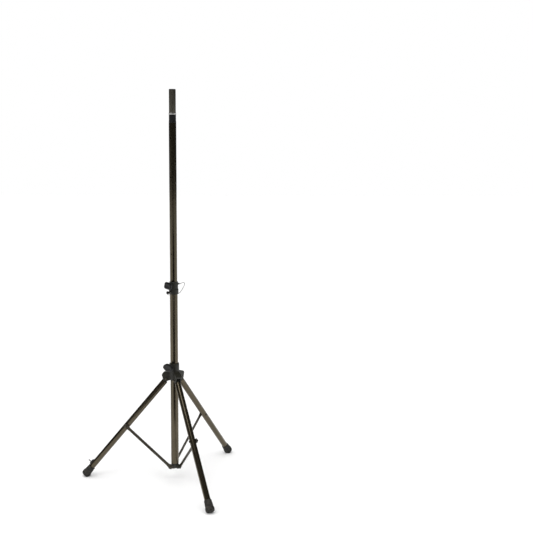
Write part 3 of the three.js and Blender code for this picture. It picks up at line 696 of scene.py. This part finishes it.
def add_hub():
    slot_half = 10.3
    solids = [spin(rounded([
        (15, HUB_BOTTOM), (HUB_RADIUS, HUB_BOTTOM), (HUB_RADIUS, HUB_TOP - 14),
        (HUB_RADIUS - 0.8, HUB_TOP - 3), (HUB_RADIUS - 2, HUB_TOP), (15, HUB_TOP),
    ], 1), SIDES)]
    hollows = [rod(HUB_BORE, HUB_BOTTOM - 30, HUB_TOP + 30, SIDES)]
    z, root, slot_reach = LEG_PIVOT_Z, HUB_BORE - 4, 14.3
    ears = [(root, z - 5)] + arc(LEG_PIVOT_R + 6, z + 1, EAR_LOBE, -99, 0)
    ears += arc(EAR_REACH - EAR_LOBE, z + EAR_HIGH, EAR_LOBE, 0, 76)
    ears += [(HUB_RADIUS + 3, z + EAR_TOP), (root, z + EAR_TOP)]
    for azimuth in LEG_AZIMUTHS.values():
        turn = about(azimuth)
        solids.append(moved(plate(ears, -EAR_HALF, EAR_HALF), turn))
        for part in (
            block((LEG_PIVOT_R - slot_reach, -slot_half, z - 40), (70, slot_half, z)),
            eye(slot_reach, LEG_PIVOT_R, z, -slot_half, slot_half),
            block((LEG_PIVOT_R, -slot_half, z - 40), (70, slot_half, z + 12.4)),
            eye(BOLT_HOLE, LEG_PIVOT_R, z, -20, 20),
        ):
            hollows.append(moved(part, turn))
    clamp = about(CLAMP_AZIMUTH, HUB_CLAMP_Z) @ ALONG_X
    solids.append(moved(rod(11, 20, 34), clamp))
    hollows.append(moved(rod(4.4, 15, 40), clamp))
    finish(cast("hub_fine", solids, hollows, voxel=0.7, soften=7, keep=0.22), "hub", "hub_body", "casting")


# ---------------------------------------------------------------- fasteners across a leg
def dome_bolt(name, radius, head, low, high, place):
    """A round-headed bolt along Z, with a hexagon socket's ring pressed in its head."""
    return lathe(name, [
        (0, low - 2.6), (head * 0.34, low - 2.6), (head * 0.36, low - 3.5), (head * 0.62, low - 3),
        (head * 0.88, low - 2), (head, low - 1), (head, low), (radius, low), (radius, high), (0, high),
    ], place, 0.35, SMALL_SIDES)


def cap_nut(name, radius, bore, low, high, place):
    """A hexagon nut with a washer face and a domed cap, along Z."""
    flats = radius * math.sqrt(3)
    return lathe(name, [
        (bore, low), (radius * 0.98, low), (radius * 0.98, low + 0.6), (radius, low + 1),
        (radius, high - 3.4),
        (radius * 0.86, high - 2.8), (radius * 0.74, high - 2.6), (radius * 0.7, high - 1.4),
        (radius * 0.5, high - 0.4), (radius * 0.2, high), (0, high), (0, high - 2.4), (bore, high - 2.4),
    ], place, 0.25, 72, hexed(flats), sharp=24)


def leg_place(azimuth):
    """The leg's own frame, in millimetres: Z down the leg from its pivot, and -X up and out."""
    side = about(azimuth) @ Matrix.Translation((LEG_PIVOT_R, 0, LEG_PIVOT_Z))
    return side @ Matrix.Rotation(math.pi - math.radians(LEG_ANGLE), 4, "Y")


def add_fasteners(name, azimuth):
    pivot = about(azimuth) @ Matrix.Translation((LEG_PIVOT_R, 0, LEG_PIVOT_Z)) @ ALONG_Y
    finish(dome_bolt(f"leg_pivot_bolt_{name}_fine", 4, 6.6, -16.3, 20.5, metres(pivot)),
           "hub", f"leg_pivot_bolt_{name}", "black_steel")
    finish(cap_nut(f"leg_pivot_nut_{name}_fine", 7, BOLT_HOLE, 16.3, 23.6, metres(pivot)),
           "hub", f"leg_pivot_nut_{name}", "black_steel")

    body = "leg_" + name
    across = leg_place(azimuth) @ Matrix.Translation((0, 0, STRUT_BOLT_AT)) @ ALONG_Y
    finish(dome_bolt(f"strut_bolt_{name}_fine", 4, 6.2, -LEG_RADIUS - GAP, STRUT_OUTER + 4, metres(across)),
           body, f"strut_bolt_{name}", "black_steel")
    nut = cap_nut(f"strut_nut_{name}_fine", 6.8, BOLT_HOLE, STRUT_OUTER + GAP, STRUT_OUTER + 7,
                  metres(across))
    finish(nut, body, f"strut_nut_{name}", "black_steel")
    finish(lathe(f"strut_washer_{name}_fine", [
        (BOLT_HOLE, LEG_RADIUS + GAP), (11, LEG_RADIUS + GAP), (11, STRUT_INNER - GAP),
        (BOLT_HOLE, STRUT_INNER - GAP),
    ], metres(across), 0.4, 56), body, f"strut_washer_{name}", "nylon")
    low = about(azimuth) @ Matrix.Translation((STRUT_PIVOT_R, 0, STRUT_PIVOT_Z)) @ ALONG_Y
    face = STRUT_OUTER + GAP
    finish(lathe(f"bracket_pin_{name}_fine", [
        (0, 5), (4, 5), (4, face), (6.4, face), (6.4, face + 1.7), (4, face + 3.4), (0, face + 3.7),
    ], metres(low), 0.4, SMALL_SIDES), "stand", f"bracket_pin_{name}", "black_steel")


# ---------------------------------------------------------------- legs and feet
def add_leg(name, azimuth):
    body = "leg_" + name
    levelling = name == "left"
    place = leg_place(azimuth)
    start, end = LEG_TUBE_START, LEVELLING_TUBE_END if levelling else LEG_TUBE_END
    tube = lathe(f"leg_tube_{name}_fine", [
        (LEG_RADIUS - LEG_WALL, start), (LEG_RADIUS, start), (LEG_RADIUS, end), (LEG_RADIUS - LEG_WALL, end),
    ], metres(place), 0.4)
    finish(tube, body, f"leg_tube_{name}", "tube")

    hole = BOLT_HOLE if name == "front" else LOOSE_HOLE
    lug = cast(f"leg_lug_{name}_fine", [
        moved(rod(11, -8, 8, 64), ALONG_Y), block((-11, -8, 0), (11, 8, 24)), rod(14.275, 19, 58, SIDES),
    ], [moved(rod(hole, -20, 20, 64), ALONG_Y)], metres(place), voxel=0.6, soften=4, keep=0.25)
    finish(lug, body, f"leg_lug_{name}", "casting")

    bore = (INNER_LEG_RADIUS if levelling else LEG_RADIUS) + GAP
    start, wide = FOOT_START, LEG_RADIUS
    boot = lathe(f"leg_foot_{name}_fine", [
        (0, LEG_TUBE_END + GAP), (bore, LEG_TUBE_END + GAP), (bore, start), (wide + 2, start),
        (wide + 2.9, start + 1.4),
        (wide + 3.2, start + 8), (wide + 4.6, start + 24), (wide + 5, start + 31), (wide + 4.1, start + 33.2),
        (wide + 4.1, start + 34.4), (wide + 5.6, start + 36.4), (wide + 7.2, start + 39.5),
        (wide + 7.4, FOOT_END - 9),
        (wide + 6.2, FOOT_END - 4.2), (wide + 2.4, FOOT_END - 1.2), (wide - 5, FOOT_END), (0, FOOT_END),
    ], metres(place), 0.9)
    cut_flat(boot)
    finish(boot, "levelling_leg" if levelling else body, f"leg_foot_{name}", "rubber")


def cut_flat(obj):
    """Cuts away what is under the floor, and closes the cut."""
    mesh = bmesh.new()
    mesh.from_mesh(obj.data)
    inside = obj.matrix_world.inverted()
    plane_point = inside @ Vector((0, 0, 0.00005))
    plane_normal = inside.to_3x3() @ Vector((0, 0, 1))
    whole = mesh.verts[:] + mesh.edges[:] + mesh.faces[:]
    cut = bmesh.ops.bisect_plane(mesh, geom=whole, plane_co=plane_point, plane_no=plane_normal,
                                 clear_inner=True)
    edges = [e for e in cut["geom_cut"] if isinstance(e, bmesh.types.BMEdge)]
    bmesh.ops.contextual_create(mesh, geom=edges)
    mesh.to_mesh(obj.data)
    mesh.free()
    obj.data.shade_smooth()
    obj.data.set_sharp_from_angle(angle=math.radians(35))


# ---------------------------------------------------------------- levelling leg
def add_levelling():
    place = leg_place(LEG_AZIMUTHS["left"])
    inner = lathe("levelling_inner_leg_fine", [
        (INNER_LEG_RADIUS - LEG_WALL, 440), (INNER_LEG_RADIUS, 440),
        (INNER_LEG_RADIUS, LEG_TUBE_END), (INNER_LEG_RADIUS - LEG_WALL, LEG_TUBE_END),
    ], metres(place), 0.35)
    bpy.context.view_layer.update()
    holes = [Matrix.Translation((-INNER_LEG_RADIUS, 0, LEVELLING_PIN_AT - 30 * i)) @ ALONG_X
             for i in range(6)]
    finish(punched(inner, 3.5, holes), "levelling_leg", "levelling_inner_leg", "mast")

    low, high = LEVELLING_PIN_AT - 20, LEVELLING_PIN_AT + 9
    at_pin = Matrix.Translation((0, 0, LEVELLING_PIN_AT)) @ ALONG_X
    saddle = spin([(12, low), (17.5, low), (22.4, low + 7), (23.6, low + 12), (23.6, high - 4), (22.6, high),
                   (12, high)], SIDES)
    around = [block((-60, 10, low - 5), (60, 60, high + 5)),
              block((-60, -60, low - 5), (60, -10, high + 5)),
              block((-11, -60, low - 5), (60, 60, high + 5))]
    hollows = around + [rod(LEG_RADIUS + GAP, low - 5, high + 5, SIDES),
                        moved(rod(5.6, -22.4, -14), at_pin), moved(rod(3.4, -30, -14), at_pin)]
    housing = cast("levelling_housing_fine", [saddle], hollows, metres(place), voxel=0.45, soften=4,
                   keep=0.35)
    finish(housing, "leg_left", "levelling_pin_housing", "plastic")

    outward = Matrix.Rotation(-math.pi / 2, 4, "Y")
    pin_place = metres(place @ Matrix.Translation((0, 0, LEVELLING_PIN_AT)) @ outward)
    finish(lathe("levelling_pin_fine", [
        (0, 14.5), (2.6, 14.5), (3.1, 15.2), (3.1, 19), (5.2, 19), (5.2, 19.8), (3.1, 19.8), (3.1, 33.4),
        (3.9, 34), (3.9, 37), (3.2, 37.8), (0, 37.8),
    ], pin_place, 0.25, 40), "levelling_pin", "levelling_pin", "steel")
    nodes["levelling_spring"].data.materials.clear()
    nodes["levelling_spring"].data.materials.append(materials["steel"])


# ---------------------------------------------------------------- struts and bottom bracket
def add_strut(name, azimuth):
    """A flat bar with a round eye at each end, its edges softened."""
    sine, cosine = math.sin(math.radians(LEG_ANGLE)), math.cos(math.radians(LEG_ANGLE))
    out = LEG_PIVOT_R + STRUT_BOLT_AT * sine - STRUT_PIVOT_R
    rise = LEG_PIVOT_Z - STRUT_BOLT_AT * cosine - STRUT_PIVOT_Z
    length, half, neck, corner = math.hypot(out, rise), 7.5, 26, 30.6
    outline = arc(0, 0, 12, 180 - corner, 360 + corner, 32) + [(half, neck), (half, length - neck)]
    outline += arc(0, length, 12, -corner, 180 + corner, 32) + [(-half, length - neck), (-half, neck)]
    place = about(azimuth) @ Matrix.Translation((STRUT_PIVOT_R, 0, STRUT_PIVOT_Z))
    place = metres(place @ Matrix.Rotation(math.atan2(out, rise), 4, "Y"))
    bar = make(f"strut_{name}_fine", *plate(outline, STRUT_INNER, STRUT_OUTER), place)
    bpy.context.view_layer.update()
    holes = [Matrix.Translation((0, 21, z)) @ ALONG_Y for z in (0, length)]
    punched(bar, BOLT_HOLE, holes)
    soft = bar.modifiers.new("edges", "BEVEL")
    soft.width = 0.6 * MM
    soft.segments = 2
    soft.limit_method = "ANGLE"
    soft.angle_limit = math.radians(50)
    bake(bar)
    bar.data.shade_smooth()
    bar.data.set_sharp_from_angle(angle=math.radians(35))
    finish(bar, f"strut_{name}", f"strut_{name}", "black_steel")


def add_bracket():
    z = STRUT_PIVOT_Z
    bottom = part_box("main_tube")[0].z / MM
    inner = TUBE_RADIUS - TUBE_WALL
    solids = [spin(rounded([
        (0, z - 11), (12, z - 11), (17.6, z - 7), (17.6, z + 14), (TUBE_RADIUS, z + 15),
        (TUBE_RADIUS, bottom - GAP), (inner - GAP, bottom - GAP), (inner - GAP, bottom + 38),
        (inner - 3, bottom + 41), (0, bottom + 41),
    ], 0.8), SIDES)]
    hollows = []
    for azimuth in LEG_AZIMUTHS.values():
        edge = STRUT_INNER - GAP
        solids.append(moved(eye(10.5, STRUT_PIVOT_R, z, 4, edge), about(azimuth)))
        solids.append(moved(block((0, 4, z - 10.5), (STRUT_PIVOT_R, edge, z + 10.5)), about(azimuth)))
        hollows.append(moved(eye(BOLT_HOLE, STRUT_PIVOT_R, z, 4.5, 30), about(azimuth)))
    finish(cast("bottom_bracket_fine", solids, hollows, voxel=0.6, soften=5, keep=0.25),
           "stand", "bottom_bracket", "casting")


# ---------------------------------------------------------------- floor and light
def add_stage():
    """A white floor lit from above, and a black flag lying in front that only reflections see."""
    toward = Matrix.Rotation(math.radians(CAMERA_AZIMUTH), 4, "Z")

    def sheet(name, corners, colour, roughness):
        mesh = bpy.data.meshes.new(name)
        mesh.from_pydata([toward @ Vector(at) for at in corners], [], [(0, 1, 2, 3)])
        obj = bpy.data.objects.new(name, mesh)
        bpy.context.scene.collection.objects.link(obj)
        paint = bpy.data.materials.new(name)
        paint.use_nodes = True
        shader = paint.node_tree.nodes["Principled BSDF"]
        shader.inputs["Base Color"].default_value = (*colour, 1)
        shader.inputs["Roughness"].default_value = roughness
        mesh.materials.append(paint)
        return obj

    size, low = 24, -0.0005
    sheet("pale_floor", [(size, -size, low), (size, size, low), (-size, size, low), (-size, -size, low)],
          (0.95, 0.95, 0.95), 0.9)
    near, far, spread, high = 0.8, 12, 0.6, 0.002
    flag = sheet("flag", [(near, -near * spread, high), (near, near * spread, high),
                          (far, far * spread, high), (far, -far * spread, high)], (0.004, 0.004, 0.004), 1)
    flag.visible_camera = flag.visible_shadow = flag.visible_diffuse = False

    world = bpy.data.worlds.new("studio")
    world.use_nodes = True
    tree = world.node_tree
    backdrop = tree.nodes["Background"]
    backdrop.inputs["Color"].default_value = (1, 1, 1, 1)
    room = tree.nodes.new("ShaderNodeBackground")
    room.inputs["Color"].default_value = (1, 0.98, 0.95, 1)
    room.inputs["Strength"].default_value = 0.06
    seen = tree.nodes.new("ShaderNodeLightPath").outputs["Is Camera Ray"]
    either = tree.nodes.new("ShaderNodeMixShader")
    tree.links.new(seen, either.inputs["Fac"])
    tree.links.new(room.outputs["Background"], either.inputs[1])
    tree.links.new(backdrop.outputs["Background"], either.inputs[2])
    tree.links.new(either.outputs["Shader"], tree.nodes["World Output"].inputs["Surface"])
    bpy.context.scene.world = world
    bpy.context.scene.view_settings.view_transform = "Standard"

    def lamp(name, kind, at, aim, energy):
        data = bpy.data.lights.new(name, kind)
        data.energy = energy
        light = bpy.data.objects.new(name, data)
        light.location = toward @ Vector(at)
        way = light.location - Vector(aim)
        light.rotation_euler = way.to_track_quat("Z", "Y").to_euler()
        bpy.context.scene.collection.objects.link(light)
        return light

    overhead = lamp("overhead", "SUN", (1.0, -1.2, 5), (0, 0, 0), 3.6)
    overhead.data.angle = math.radians(120)
    overhead.visible_glossy = False
    lamp("softbox", "AREA", (1.7, -0.7, 3.6), (0, 0, 0.7), 16).data.size = 1.2


# ---------------------------------------------------------------- assembly
add_camera()
materials = make_materials()
add_lanyard()
add_mast()
add_outer_tube()
add_collar()
add_clamp("mast", MAST_CLAMP_Z, 24.3, 32, 46, 38, 14, (0.5, 0.5), 0.08, -8)
add_clamp("hub", HUB_CLAMP_Z, 26.8, 36, 68, 44, 15, (1.0, 1.4), 0, 0)
add_lock_pin()
add_hub()
for leg_name, leg_azimuth in LEG_AZIMUTHS.items():
    add_fasteners(leg_name, leg_azimuth)
    add_leg(leg_name, leg_azimuth)
    add_strut(leg_name, leg_azimuth)
add_levelling()
add_bracket()
add_stage()
